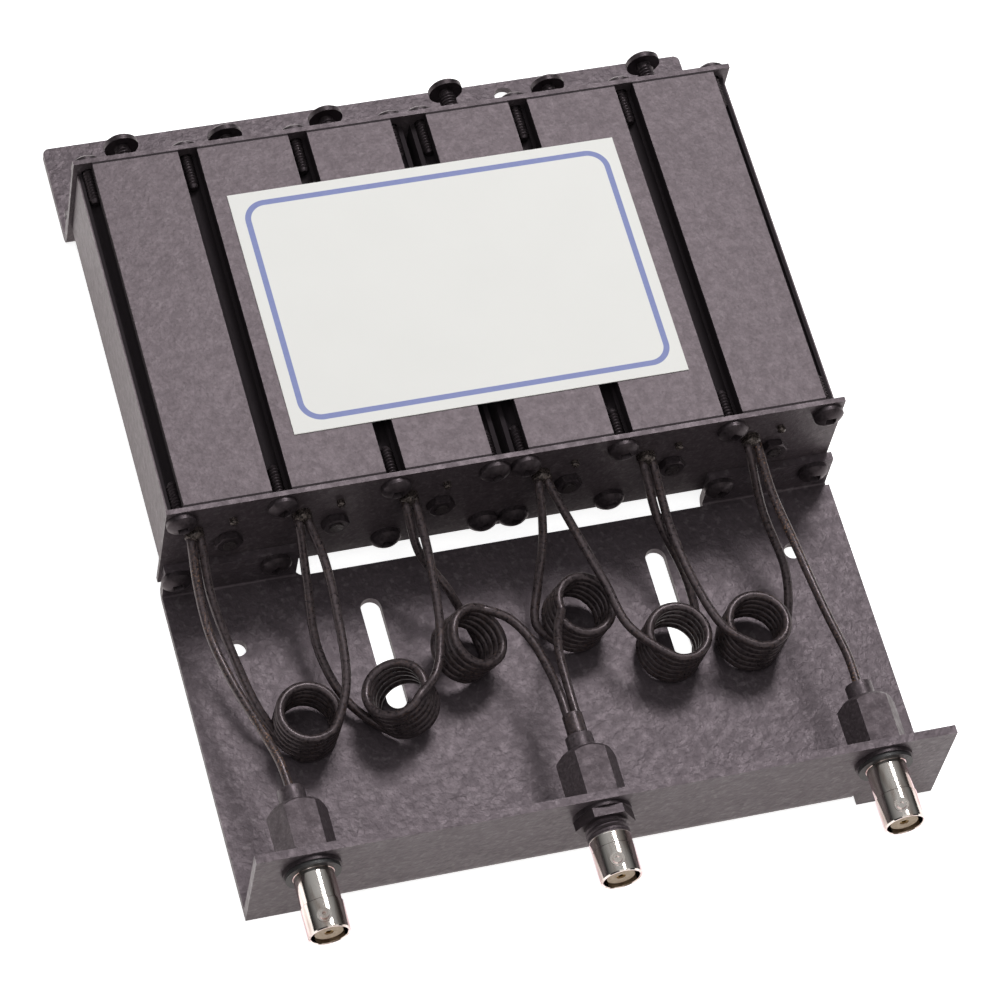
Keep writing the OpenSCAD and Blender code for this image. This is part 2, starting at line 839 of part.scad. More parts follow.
module connector_dielectrics() {
    color(tan_resin)
        for (i = [1:3])
            translate([connector_x(i), -flange_y, conn_z])
                forward()
                    translate([0, 0, 1 - sheet_t - hex_l])
                        difference() {
                            cylinder(d = dielectric_d, h = sheet_t + hex_l - 1 + conn_l - dielectric_in);
                            translate([0, 0, 1])
                                cylinder(d = contact_d, h = sheet_t + hex_l + conn_l);
                        }
}

module connector_contacts() {
    color(brass)
        for (i = [1:3])
            translate([connector_x(i), -flange_y, conn_z])
                forward()
                    translate([0, 0, 2 - sheet_t - hex_l])
                        difference() {
                            cylinder(d = contact_d,
                                h = sheet_t + hex_l - 2 + conn_l - dielectric_in - 0.3);
                            translate([0, 0, sheet_t + hex_l])
                                cylinder(d = contact_hole, h = conn_l);
                        }
}

module connector_washers() {
    color(steel_black)
        for (i = [1:3])
            translate([connector_x(i), -flange_y, conn_z])
                forward()
                    ring(washer_d, washer_t, neck_d + hole_play);
}

module connector_seals() {
    color(steel_black)
        for (i = [1, 3])
            translate([connector_x(i), -flange_y, conn_z])
                forward()
                    translate([0, 0, washer_t])
                        ring(washer_d - 0.8, seal_t, neck_d + hole_play);
}

module centre_nut() {
    color(steel_black)
        translate([connector_x(2), -flange_y, conn_z])
            forward()
                translate([0, 0, washer_t])
                    hex_nut(hex_af, front_nut_t, neck_d + hole_play);
}

module cable_ferrules() {
    color(steel_black)
        for (i = [1:3])
            translate([connector_x(i), -flange_y + sheet_t + hex_l, conn_z])
                backward()
                    intersection() {
                        cylinder(d = ferrule_d, h = ferrule_l);
                        translate([0, 0, ferrule_l - ferrule_d])
                            sphere(d = 2.1 * ferrule_d);
                    }
}

module pair_sleeve() {
    color(cable_black)
        translate([connector_x(2), -flange_y + sheet_t + hex_l + ferrule_l, conn_z])
            backward()
                cylinder(d = pair_sleeve_d, h = pair_sleeve_l);
}

function unit(v) = v / norm(v);
function tangent(route, i) = unit(route[min(i + 1, len(route) - 1)] - route[max(i - 1, 0)]);
function across(t) = unit(cross(t, [0, 0, 1]));
function ring_points(p, t) = let (a = across(t), b = cross(a, t))
    [for (k = [0:7]) p + cable_d / 2 * (cos(45 * k) * a + sin(45 * k) * b)];

// A length of cable swept along a route, one ring of eight points at each route point
module cable(route) {
    n = len(route);
    points = [for (i = [0:n - 1]) each ring_points(route[i], tangent(route, i))];
    walls = [for (i = [0:n - 2], k = [0:7])
        [8 * i + k, 8 * i + (k + 1) % 8, 8 * i + 8 + (k + 1) % 8, 8 * i + 8 + k]];
    near_end = [for (k = [7:-1:0]) k];
    far_end = [for (k = [0:7]) 8 * (n - 1) + k];
    color(cable_black)
        polyhedron(points = points, faces = concat([near_end], walls, [far_end]), convexity = 4);
}

// A tilted coil: stacked turns, its top turn centred over the point and its foot on the tray
module coil(i) {
    rise = (coil_turns - 1) * turn_h;
    tilt_x = coils[i][2];
    tilt_y = coils[i][3];
    up = cos(tilt_x) * cos(tilt_y);
    lean = sqrt(1 - up * up);
    foot_z = sheet_t + cable_d / 2 + coil_r * lean + 0.05;
    axis = [cos(tilt_x) * sin(tilt_y), -sin(tilt_x), up];
    color(cable_black)
        translate([coils[i][0], coils[i][1], foot_z] - rise * [axis[0], axis[1], 0])
            rotate([tilt_x, tilt_y, 0])
                rotate_extrude()
                    for (j = [0:coil_turns - 1])
                        translate([coil_r, j * turn_h])
                            circle(d = cable_d, $fn = 24);
}

module tails(routes) {
    for (route = routes)
        cable(route);
}

tray();
rear_bracket();
housing(-1);  // left_housing
housing(1);  // right_housing
front_plate(-1);  // left_front_plate
front_plate(1);  // right_front_plate
rear_plate(-1);  // left_rear_plate
rear_plate(1);  // right_rear_plate
label();
front_top_screws();
front_bottom_screws();
rear_top_screws();
rear_bottom_screws();
resonators(0);  // left_resonators
resonators(cavities_per_half);  // right_resonators
resonator_nuts();
coupling_loops();
loop_bushes();
tuning_lock_nuts();
tuning_screw(0);  // tuning_screw_1
tuning_screw(1);  // tuning_screw_2
tuning_screw(2);  // tuning_screw_3
tuning_screw(3);  // tuning_screw_4
tuning_screw(4);  // tuning_screw_5
tuning_screw(5);  // tuning_screw_6
tuning_sleeve(0);  // tuning_sleeve_1
tuning_sleeve(1);  // tuning_sleeve_2
tuning_sleeve(2);  // tuning_sleeve_3
tuning_sleeve(3);  // tuning_sleeve_4
tuning_sleeve(4);  // tuning_sleeve_5
tuning_sleeve(5);  // tuning_sleeve_6
connector(1);  // connector_1
connector(2);  // connector_2
connector(3);  // connector_3
connector_dielectrics();
connector_contacts();
connector_washers();
connector_seals();
centre_nut();
cable_ferrules();
pair_sleeve();
cable(lead_1_route);  // lead_1
cable(lead_3_route);  // lead_3
tails(tails_1_routes);  // tails_1
tails(tails_2_routes);  // tails_2
tails(tails_3_routes);  // tails_3
tails(tails_4_routes);  // tails_4
tails(tails_5_routes);  // tails_5
tails(tails_6_routes);  // tails_6
coil(0);  // coil_1
coil(1);  // coil_2
coil(2);  // coil_3
coil(3);  // coil_4
coil(4);  // coil_5
coil(5);  // coil_6
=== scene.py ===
# %% [markdown]
# # A six-cavity duplexer on a folded tray
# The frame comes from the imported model, in metres. Everything below either gives one of its
# nodes a finish, or adds a piece that the plain solids can't show, such as the cables' real turns
# and the threads of the screws.

# %% Load the frame
import bpy
import bmesh
import math
from functools import partial
from mathutils import Matrix, Vector


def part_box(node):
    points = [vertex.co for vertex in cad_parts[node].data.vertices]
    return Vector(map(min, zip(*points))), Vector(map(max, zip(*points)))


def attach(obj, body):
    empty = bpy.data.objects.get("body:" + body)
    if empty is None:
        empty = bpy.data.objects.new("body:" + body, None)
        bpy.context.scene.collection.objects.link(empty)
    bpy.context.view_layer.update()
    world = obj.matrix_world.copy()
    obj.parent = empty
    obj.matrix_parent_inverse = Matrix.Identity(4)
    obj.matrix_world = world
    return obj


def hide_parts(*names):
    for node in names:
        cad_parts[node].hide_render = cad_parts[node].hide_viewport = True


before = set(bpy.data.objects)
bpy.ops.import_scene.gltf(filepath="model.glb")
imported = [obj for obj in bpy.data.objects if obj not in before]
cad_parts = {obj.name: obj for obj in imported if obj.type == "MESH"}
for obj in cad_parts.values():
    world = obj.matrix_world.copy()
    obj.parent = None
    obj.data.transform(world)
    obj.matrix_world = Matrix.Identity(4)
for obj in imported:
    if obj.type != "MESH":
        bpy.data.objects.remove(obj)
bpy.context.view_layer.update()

MM = 0.001

# %% [markdown]
# ## The camera
# The camera was solved from the sockets and the block's edges. It is written as a place, a line
# of sight and a roll about that line, because those are the three things one would set by hand on
# a stand. A long lens keeps the edges nearly parallel, as they are in the picture.

# %% Camera
camera_at = Vector((-259.13, -467.22, 939.76)) * MM
line_of_sight = Vector((0.238907, 0.457694, -0.856411)).normalized()
roll = math.radians(14.415)
lens_mm = 169.05

level_right = line_of_sight.cross(Vector((0, 0, 1))).normalized()
level_up = level_right.cross(line_of_sight)
right = math.cos(roll) * level_right + math.sin(roll) * level_up
up = right.cross(line_of_sight)
camera_data = bpy.data.cameras.new("camera")
camera_data.lens = lens_mm
camera_data.sensor_width = 36
camera_data.clip_start = 0.05
camera_data.clip_end = 20
camera = bpy.data.objects.new("camera", camera_data)
bpy.context.scene.collection.objects.link(camera)
turn = Matrix((right, up, -line_of_sight)).transposed()
camera.matrix_world = Matrix.Translation(camera_at) @ turn.to_4x4()
bpy.context.scene.camera = camera
print("camera at", [round(v, 3) for v in camera_at])

# %% [markdown]
# ## Cables
# Each cable is one length that leaves a terminal of the block, drops to the tray, winds up in a
# standing coil of about five turns and goes on to the next terminal or to a socket. The route's
# free stretches are listed points. The turns are worked out by a loop, so that they lie a cable's
# width apart, and a smooth curve is then drawn through all of them.

# %% Sizes that the cables follow
tray_t = 2
cable_d = 2.1
coil_r = 6.75
turn_pitch = 2.13
stub = 1.8
joint_gap = 0.1
block_front_y = 25.9
solder_t = 1.2
terminal_z = 26.7
ferrule_end_y = -38.3
pair_sleeve_l = 5
socket_z = 21.6
first_terminal_x = [-74.8, -49.8, -24.8, 6.6, 31.8, 57.2]
socket_x = {1: -67.8, 2: -1.6, 3: 64.6}


def hot(i, side, before=0.0):
    """Where a cable meets the soldered head of terminal i, on its left (-1) or right (1)."""
    return (first_terminal_x[i] + side * (cable_d / 2 + joint_gap),
            block_front_y - solder_t - before, terminal_z)


def gland(i, side=0):
    """Where a cable leaves the ferrule of socket i."""
    sleeve = pair_sleeve_l if i == 2 else 0
    return (socket_x[i] + side * cable_d / 2, ferrule_end_y + sleeve, socket_z)


print("terminals", [round(x, 1) for x in first_terminal_x])

# %% Free stretches, each a list of given points
lead_1_route = [gland(1), (-68.4, -31.5, 21.5), (-70, -23, 20), (-73.5, -8, 18),
                (-75.5, 4, 18.2), (-76, 15, 21.5), hot(0, -1, stub), hot(0, -1)]
lead_3_route = [hot(5, 1), hot(5, 1, stub), (59.5, 13, 22.5), (61.5, 2, 20),
                (63.5, -18, 20), (64.6, -31, 21.5), gland(3)]
routes_in = [
    [hot(0, 1), hot(0, 1, stub), (-73.2, 13, 19.5), (-70.6, 1, 13), (-66.8, -13, 8.5),
     (-63, -22, 4.6)],
    [hot(1, -1), hot(1, -1, stub), (-50.6, 14, 17.5), (-50.6, 0, 9.5), (-46.2, -12.5, 5.4),
     (-41.5, -20, 3.6)],
    [hot(2, -1), hot(2, -1, stub), (-24, 15, 18.8), (-18.5, 7.5, 13), (-12.6, 1.8, 6.2)],
    [hot(3, -1), hot(3, -1, stub), (5.2, 14, 17.5), (2.6, 5.5, 10.2), (0.8, -2, 6.6),
     (3, -6.5, 4.6)],
    [hot(3, 1), hot(3, 1, stub), (12, 14, 20.5), (16.4, 0, 17), (19.2, -11, 15.6),
     (27, -20.4, 14.4)],
    [hot(4, 1), hot(4, 1, stub), (34.6, 11, 19.2), (36.8, -3, 16.6), (41, -15.5, 15.2),
     (46.4, -20.6, 14.4)]]
routes_out = [
    [(-52.4, -21.8, 14.8), (-48, -13, 16), (-46.2, 4, 18.8), (-46.6, 16, 22.5),
     hot(1, 1, stub), hot(1, 1)],
    [(-32.2, -20.4, 16.8), (-27.6, -14.5, 16.6), (-24.2, -5, 17.2), (-22.8, 12, 21.5),
     hot(2, 1, stub), hot(2, 1)],
    [(-11.6, 0.8, 15.4), (-7.6, -4, 16.2), (-4.4, -11, 17.5), (-3, -20, 19.4),
     (-2.7, -28, 21.3), gland(2, -1)],
    [(4.7, -4, 15.9), (2.4, -9, 17.6), (0.4, -16, 19.8), (-0.4, -26, 21.2), gland(2, 1)],
    [(36.2, -12.5, 4.2), (38.4, -6, 5.2), (37.6, 2, 9.2), (32.4, 13.5, 19),
     hot(4, -1, stub), hot(4, -1)],
    [(54.8, -17, 4), (59.4, -10.5, 4.8), (61, -1, 9.5), (58, 12, 16.5),
     hot(5, -1, stub), hot(5, -1)]]
print("stretches:", len(routes_in) + len(routes_out) + 2)

# %% [markdown]
# A coil is given by the middle of its top turn, its two tilts, the angle at which the cable comes
# in and the angle at which it leaves. Some are wound from the tray upwards and some downwards,
# which is why each has a direction of its own.

# %% Turns of the coils
coils = [
    dict(top=(-57.2, -17.1), tilt=(4, 1), start=248, sweep=1864, rising=True),
    dict(top=(-37.5, -15.7), tilt=(-4, -23), start=232, sweep=1888, rising=True),
    dict(top=(-14.8, -6.3), tilt=(7, 22), start=28, sweep=-1758, rising=True),
    dict(top=(11.4, -2.7), tilt=(6, 11), start=222, sweep=1768, rising=True),
    dict(top=(30.6, -13.9), tilt=(4, 5), start=250, sweep=1900, rising=False),
    dict(top=(49.7, -14.4), tilt=(2, 5), start=245, sweep=1880, rising=False)]
points_a_turn = 24
stack = 5 * 2.05
foot_gap = 0.05
lowest = 0.02


def coil_frame(tilt):
    """Two directions across a tilted coil, and the one along it."""
    a, b = (math.radians(t) for t in tilt)
    across = Vector((math.cos(b), 0, -math.sin(b)))
    back = Vector((math.sin(a) * math.sin(b), math.cos(a), math.sin(a) * math.cos(b)))
    along = Vector((math.cos(a) * math.sin(b), -math.sin(a), math.cos(a) * math.cos(b)))
    return across, back, along


def coil_turns(top, tilt, start, sweep, rising):
    """The turns' points. The stack stands on the tray, however far it leans."""
    across, back, along = coil_frame(tilt)
    lean = math.sqrt(1 - along.z ** 2)
    foot_z = tray_t + cable_d / 2 + coil_r * lean + foot_gap
    base = Vector((top[0], top[1], foot_z + stack * along.z)) - stack * along
    climb = abs(sweep) / 360 * turn_pitch
    count = round(abs(sweep) / 360 * points_a_turn)
    line = []
    for k in range(count + 1):
        share = k / count
        angle = math.radians(start + sweep * share)
        height = climb * (share if rising else 1 - share) - (climb - stack) / 2
        line.append(base + coil_r * (math.cos(angle) * across + math.sin(angle) * back)
                    + max(height, lowest) * along)
    return line


for i, c in enumerate(coils):
    print("coil", i + 1, "turns", round(abs(c["sweep"]) / 360, 2))

# %% [markdown]
# A Catmull-Rom curve passes through every point, so the route stays where it was chosen. The
# finished line is a poly curve with a round bevel, which Blender turns into the jacket.

# %% Smooth line and jacket


def smooth_line(points, step=0.55):
    """Centripetal Catmull-Rom through the points, about one point every step millimetres."""
    points = [Vector(p) for p in points]
    padded = [2 * points[0] - points[1], *points, 2 * points[-1] - points[-2]]
    line = [points[0]]
    for p0, p1, p2, p3 in zip(padded, padded[1:], padded[2:], padded[3:]):
        t1 = (p1 - p0).length ** 0.5
        t2 = t1 + (p2 - p1).length ** 0.5
        t3 = t2 + (p3 - p2).length ** 0.5
        pieces = max(1, round((p2 - p1).length / step))
        for k in range(1, pieces + 1):
            t = t1 + (t2 - t1) * k / pieces
            a1 = (t1 - t) / t1 * p0 + t / t1 * p1
            a2 = (t2 - t) / (t2 - t1) * p1 + (t - t1) / (t2 - t1) * p2
            a3 = (t3 - t) / (t3 - t2) * p2 + (t - t2) / (t3 - t2) * p3
            b1 = (t2 - t) / t2 * a1 + t / t2 * a2
            b2 = (t3 - t) / (t3 - t1) * a2 + (t - t1) / (t3 - t1) * a3
            line.append((t2 - t) / (t2 - t1) * b1 + (t - t1) / (t2 - t1) * b2)
    return line


def line_length(line):
    return sum((b - a).length for a, b in zip(line, line[1:]))


def make_cable(name, line, stands_for):
    """A jacket round the line, which rides on the object's body and takes the place of the parts it
    stands for.

    The bevel is a tube of unit radius, which each point's own radius brings to size. Blender adds
    the points' radius to a curve's box, so this also keeps the box as small as the cable.
    """
    curve = bpy.data.curves.new(name, "CURVE")
    curve.dimensions = "3D"
    curve.bevel_depth = 1
    curve.bevel_resolution = 4
    curve.use_fill_caps = True
    spline = curve.splines.new("POLY")
    spline.points.add(len(line) - 1)
    for point, place in zip(spline.points, line):
        point.co = (*(place * MM), 1)
        point.radius = cable_d / 2 * MM
    spline.use_smooth = True
    cable = bpy.data.objects.new(name, curve)
    bpy.context.scene.collection.objects.link(cable)
    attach(cable, "duplexer")
    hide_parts(*stands_for)
    print(name, "length", round(line_length(line), 1), "mm, points", len(line))
    return cable


# %% Six coiled cables and two straight leads
cables = []
for i, c in enumerate(coils):
    line = smooth_line(routes_in[i][:-1] + coil_turns(**c) + routes_out[i][1:])
    cables.append(make_cable(f"cable_{i + 1}", line, [f"tails_{i + 1}", f"coil_{i + 1}"]))
for number, route in ((1, lead_1_route), (3, lead_3_route)):
    cables.append(make_cable(f"lead_cable_{number}", smooth_line(route), [f"lead_{number}"]))

# %% [markdown]
# ## Modelling small hardware
# The screws, nuts and solder joints are small turned or moulded things that repeat. Each kind is
# modelled once near the origin, its axis along Z, and then copied to its places. These helpers
# wrap the steps that one does by hand: add a primitive, pick some faces, push them about, and let
# a modifier finish the form.

# %% Helpers for modelling


def add_piece(name, primitive, **values):
    """Adds a primitive with nothing else selected, and puts its place into its mesh."""
    bpy.ops.object.select_all(action="DESELECT")
    primitive(**values)
    piece = bpy.context.object
    piece.name = piece.data.name = name
    bpy.ops.object.transform_apply(location=True, rotation=True, scale=True)
    return piece


def open_for_edit(piece):
    bpy.ops.object.select_all(action="DESELECT")
    piece.select_set(True)
    bpy.context.view_layer.objects.active = piece
    bpy.ops.object.mode_set(mode="EDIT")
    bpy.ops.mesh.select_mode(type="FACE")
    bpy.ops.mesh.select_all(action="DESELECT")


def pick_faces(piece, test):
    """In edit mode, selects the faces whose middle and normal pass the test, and no others."""
    mesh = bmesh.from_edit_mesh(piece.data)
    for face in mesh.faces:
        face.select_set(test(face.calc_center_median(), face.normal))
    bmesh.update_edit_mesh(piece.data)


def extrude(x=0.0, y=0.0, z=0.0):
    bpy.ops.mesh.extrude_region_move(TRANSFORM_OT_translate={"value": (x * MM, y * MM, z * MM)})


def widen(share):
    """Scales what is selected about the Z axis."""
    bpy.ops.transform.resize(value=(share, share, 1), center_override=(0, 0, 0))


def close_edit():
    bpy.ops.mesh.select_all(action="SELECT")
    bpy.ops.mesh.normals_make_consistent(inside=False)
    bpy.ops.object.mode_set(mode="OBJECT")


def apply_modifier(piece, kind, **values):
    bpy.context.view_layer.objects.active = piece
    modifier = piece.modifiers.new(kind.lower(), kind)
    for key, value in values.items():
        setattr(modifier, key, value)
    bpy.ops.object.modifier_apply(modifier=modifier.name)


def cut(piece, tool, operation="DIFFERENCE"):
    """Cuts the piece with a tool, or trims it to the tool, and takes the tool away."""
    apply_modifier(piece, "BOOLEAN", operation=operation, solver="EXACT", object=tool)
    bpy.data.objects.remove(tool)


def join_pieces(piece, *others):
    bpy.ops.object.select_all(action="DESELECT")
    for each in (piece, *others):
        each.select_set(True)
    bpy.context.view_layer.objects.active = piece
    bpy.ops.object.join()
    return piece


def smooth(piece, degrees=35):
    bpy.ops.object.select_all(action="DESELECT")
    piece.select_set(True)
    bpy.context.view_layer.objects.active = piece
    bpy.ops.object.shade_smooth_by_angle(angle=math.radians(degrees))


TO_FRONT = Matrix.Rotation(math.radians(90), 4, "X")
TO_BACK = Matrix.Rotation(math.radians(-90), 4, "X")
pieces = []


def place_copy(model, name, place, facing, turn, body, node):
    """Puts a copy of the model at a place in millimetres, turned about its own axis."""
    piece = model.copy()
    piece.data = model.data.copy()
    piece.name = piece.data.name = name
    bpy.context.scene.collection.objects.link(piece)
    piece.data.transform(Matrix.Translation(Vector(place) * MM) @ facing
                         @ Matrix.Rotation(math.radians(turn), 4, "Z"))
    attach(piece, body)
    if node:
        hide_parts(node)
    pieces.append(piece)
    return piece


print("helpers ready")

# %% [markdown]
# ## Screws
# A pan head screw is a low drum with a domed crown, a cross recess and a threaded shank. The crown
# is drawn up from the drum's top by extruding and narrowing it, the recess is cut with a tapered
# cross, and the thread is a small triangle wound round the shank by the Screw modifier, because a
# bump map can't give the rungs that show against the light in the open channels.

# %% Cross recess and thread
root_sunk = 0.06
ridge_share = 0.46


def make_recess(head_d, head_h):
    """A cross that narrows downwards, to be cut out of a screw's crown."""
    arm, reach, depth = 0.15 * head_d, 0.5 * head_d, 0.55 * head_h
    tool = add_piece("recess", bpy.ops.mesh.primitive_cube_add, size=1,
                     location=(0, 0, head_h * MM), scale=(arm * MM, arm * MM, 2 * depth * MM))
    open_for_edit(tool)
    side = (reach - arm) / 2
    for x, y in ((1, 0), (-1, 0), (0, 1), (0, -1)):
        pick_faces(tool, lambda middle, normal: normal.x * x + normal.y * y > 0.9
                   and abs(middle.x * x + middle.y * y) < arm * MM)
        extrude(x=x * side, y=y * side)
    pick_faces(tool, lambda middle, normal: normal.z < -0.9)
    widen(0.45)
    close_edit()
    return tool


def wind_thread(name, core_r, crest_r, pitch, bottom, top, steps):
    """A closed ridge of triangular section wound right-handed from the bottom to the top."""
    ridge = add_piece(name, bpy.ops.mesh.primitive_circle_add, vertices=3, radius=1,
                      fill_type="NOTHING")
    root = core_r - root_sunk
    out = (crest_r - root) / 1.5
    half_width = ridge_share * pitch / math.cos(math.radians(30))
    ridge.data.transform(Matrix(((0, out * MM, 0, (root + out / 2) * MM), (0, 0, 1, 0),
                                 (half_width * MM, 0, 0, bottom * MM), (0, 0, 0, 1))))
    apply_modifier(ridge, "SCREW", axis="Z", angle=2 * math.pi, screw_offset=pitch * MM,
                   iterations=int((top - bottom) / pitch), steps=steps, render_steps=steps,
                   use_smooth_shade=False)
    open_for_edit(ridge)
    bpy.ops.mesh.select_all(action="SELECT")
    bpy.ops.mesh.remove_doubles(threshold=0.000001)
    bpy.ops.mesh.fill_holes(sides=3)
    close_edit()
    return ridge


# %% Pan head screw
thread_pitch = 0.794
thread_depth = 0.38
thread_end = -0.9
tip_l, tip_share = 0.6, 0.7
crown_shares = (0.94, 0.82, 0.66, 0.46, 0.2)


def make_pan_screw(name, head_d, head_h, thread_d, length, thread_from, steps):
    """A screw whose head stands on the level 0 and whose shank hangs below it."""
    rim_h = 0.42 * head_h
    crown_h = head_h - rim_h
    crown_r = ((head_d / 2) ** 2 + crown_h ** 2) / (2 * crown_h)
    core_r = thread_d / 2 - thread_depth
    screw = add_piece(name, bpy.ops.mesh.primitive_cylinder_add, vertices=40,
                      radius=head_d / 2 * MM, depth=rim_h * MM, location=(0, 0, rim_h / 2 * MM))
    open_for_edit(screw)
    pick_faces(screw, lambda middle, normal: normal.z > 0.9)
    z, r = rim_h, head_d / 2
    for share in crown_shares:
        next_r = head_d / 2 * share
        next_z = head_h - crown_r + math.sqrt(crown_r ** 2 - next_r ** 2)
        extrude(z=next_z - z)
        widen(next_r / r)
        z, r = next_z, next_r
    pick_faces(screw, lambda middle, normal: normal.z < -0.9)
    bpy.ops.mesh.inset(thickness=(head_d / 2 - core_r) * MM)
    extrude(z=tip_l - length)
    extrude(z=-tip_l)
    widen(tip_share)
    close_edit()
    cut(screw, make_recess(head_d, head_h))
    thread = wind_thread("thread", core_r, thread_d / 2, thread_pitch, thread_from, thread_end,
                         steps)
    join_pieces(screw, thread)
    smooth(screw)
    return screw


plate_screw = make_pan_screw("plate_screw", head_d=7.1, head_h=2.8, thread_d=3.0, length=10,
                             thread_from=-9.3, steps=16)
tuner = make_pan_screw("tuner", head_d=8.2, head_h=2.9, thread_d=4.15, length=38,
                       thread_from=-21, steps=20)
print("triangles in a plate screw:", sum(len(p.vertices) - 2 for p in plate_screw.data.polygons))

# %% [markdown]
# The plate screws sit in four rows of eight. Nobody lines up the recesses by hand, so each copy is
# turned by another angle. The screws on the tabs stand one sheet further out than the others.

# %% Rows of plate screws
half_middles = (-41.5, 38.7)
channels = (-36.45, -13.2, 13.2, 36.45)
block_l = 96.1
block_back_y = block_front_y + block_l
axis_z = 21.0
row_offset = 11.3
row_z = (axis_z + row_offset, axis_z - row_offset)
sheet_t = 2.0
cut_half_w = 49.25


def screw_rows():
    """Node, facing, and the places of its eight screws."""
    xs = [middle + channel for middle in half_middles for channel in channels]
    tabs = [sheet_t if abs(x) > cut_half_w else 0 for x in xs]
    return (("front_top_screws", TO_FRONT, [(x, block_front_y, row_z[0]) for x in xs]),
            ("front_bottom_screws", TO_FRONT,
             [(x, block_front_y - tab, row_z[1]) for x, tab in zip(xs, tabs)]),
            ("rear_top_screws", TO_BACK, [(x, block_back_y, row_z[0]) for x in xs]),
            ("rear_bottom_screws", TO_BACK,
             [(x, block_back_y + sheet_t, row_z[1]) for x in xs]))


for node, facing, places in screw_rows():
    for i, place in enumerate(places):
        place_copy(plate_screw, f"{node[:-1]}_{i + 1}", place, facing, 37 * i + 11, "duplexer",
                   node)
print("plate screws:", len(pieces))

# %% [markdown]
# The tuning screws stand out of the rear plates by different lengths, as they were left when the
# cavities were tuned. Each rides on its own body, so that it turns and goes in with its joint.

# %% Tuning screws
cavity_x = (-66.4, -41.5, -16.6, 13.8, 38.7, 63.6)
stick_out = (11.6, 10.1, 11.1, 13.6, 10.6, 13.1)
for i, (x, out) in enumerate(zip(cavity_x, stick_out)):
    place_copy(tuner, f"tuner_{i + 1}", (x, block_back_y + out, axis_z), TO_BACK, 23 * i + 30,
               f"screw_{i + 1}", f"tuning_screw_{i + 1}")
for model in (plate_screw, tuner):
    bpy.data.objects.remove(model)
print("tuning screws:", len(cavity_x))

# %% [markdown]
# ## Nuts
# A hex nut is cut from hexagon bar, and turning it chamfers the corners. That is how it is made
# here too: a six-sided drum is trimmed to a round blank whose rims taper, and then bored.

# %% Hex nuts


def make_nut(name, across, thick, bore, chamfer=0.35):
    """A nut that stands on the level 0, both rims chamfered."""
    corner = across / 2 / math.cos(math.radians(30))
    nut = add_piece(name, bpy.ops.mesh.primitive_cylinder_add, vertices=6, radius=corner * MM,
                    depth=thick * MM, location=(0, 0, thick / 2 * MM),
                    rotation=(0, 0, math.radians(30)))
    blank = add_piece("blank", bpy.ops.mesh.primitive_cylinder_add, vertices=48,
                      radius=1.01 * corner * MM, depth=(thick - 2 * chamfer) * MM,
                      location=(0, 0, thick / 2 * MM))
    open_for_edit(blank)
    for side in (1, -1):
        pick_faces(blank, lambda middle, normal: normal.z * side > 0.9)
        extrude(z=side * (chamfer + 0.001))
        widen(0.95 * across / 2 / corner)
    close_edit()
    cut(nut, blank, "INTERSECT")
    drill = add_piece("drill", bpy.ops.mesh.primitive_cylinder_add, vertices=32,
                      radius=bore / 2 * MM, depth=3 * thick * MM)
    cut(nut, drill)
    smooth(nut, 25)
    return nut


nut_kinds = (("resonator_nuts", (5.8, 1.9, 3.4), TO_FRONT, block_front_y),
             ("tuning_lock_nuts", (8.7, 3.0, 4.25), TO_BACK, block_back_y))
for node, (across, thick, bore), facing, y in nut_kinds:
    model = make_nut("nut", across, thick, bore)
    for i, x in enumerate(cavity_x):
        place_copy(model, f"{node[:-1]}_{i + 1}", (x, y, axis_z), facing, 0, "duplexer", node)
    bpy.data.objects.remove(model)
print("nuts:", len(cavity_x) * len(nut_kinds))

# %% [markdown]
# ## Solder joints
# Where two cables meet a terminal, a blob of solder holds them. Each blob starts as a ball that is
# pressed flat, made uneven and cut off level at the terminal's disc.

# %% Solder joints


def make_solder(name, radius, height, uneven=0.09, sunk=0.3):
    """A lump that is sunk a little into what it stands on."""
    lump = add_piece(name, bpy.ops.mesh.primitive_uv_sphere_add, segments=24, ring_count=14,
                     radius=radius * MM)
    open_for_edit(lump)
    bpy.ops.mesh.select_all(action="SELECT")
    bpy.ops.transform.resize(value=(1, 0.92, height / radius), center_override=(0, 0, 0))
    bpy.ops.transform.vertex_random(offset=uneven * MM, uniform=0.0, normal=1.0, seed=4)
    bpy.ops.mesh.bisect(plane_co=(0, 0, -sunk * MM), plane_no=(0, 0, 1), use_fill=True,
                        clear_inner=True)
    close_edit()
    apply_modifier(lump, "SUBSURF", levels=1, render_levels=1)
    smooth(lump, 80)
    return lump


solder_model = make_solder("solder", radius=2.35, height=1.6)
for i, x in enumerate(first_terminal_x):
    place_copy(solder_model, f"solder_{i + 1}", (x, block_front_y - solder_t, terminal_z),
               TO_FRONT, 67 * i, "duplexer", None)
bpy.data.objects.remove(solder_model)
print("solder joints:", len(first_terminal_x))

# %% [markdown]
# A much smaller bead sits above each stud, where the end of the coupling loop inside was soldered
# into its hole. It is the same kind of lump.

# %% Beads
bead_x, bead_z, bead_t = 0.6, 29.4, 0.9
bead_model = make_solder("bead", radius=1.0, height=0.7)
for i, x in enumerate(cavity_x):
    place_copy(bead_model, f"solder_bead_{i + 1}", (x + bead_x, block_front_y - bead_t, bead_z),
               TO_FRONT, 40 * i, "duplexer", None)
bpy.data.objects.remove(bead_model)
print("beads:", len(cavity_x))

# %% [markdown]
# The middle socket is held by a nut on a threaded neck, of which a few turns show in front of it.
# The same helper as for the screws winds them, wider and coarser.

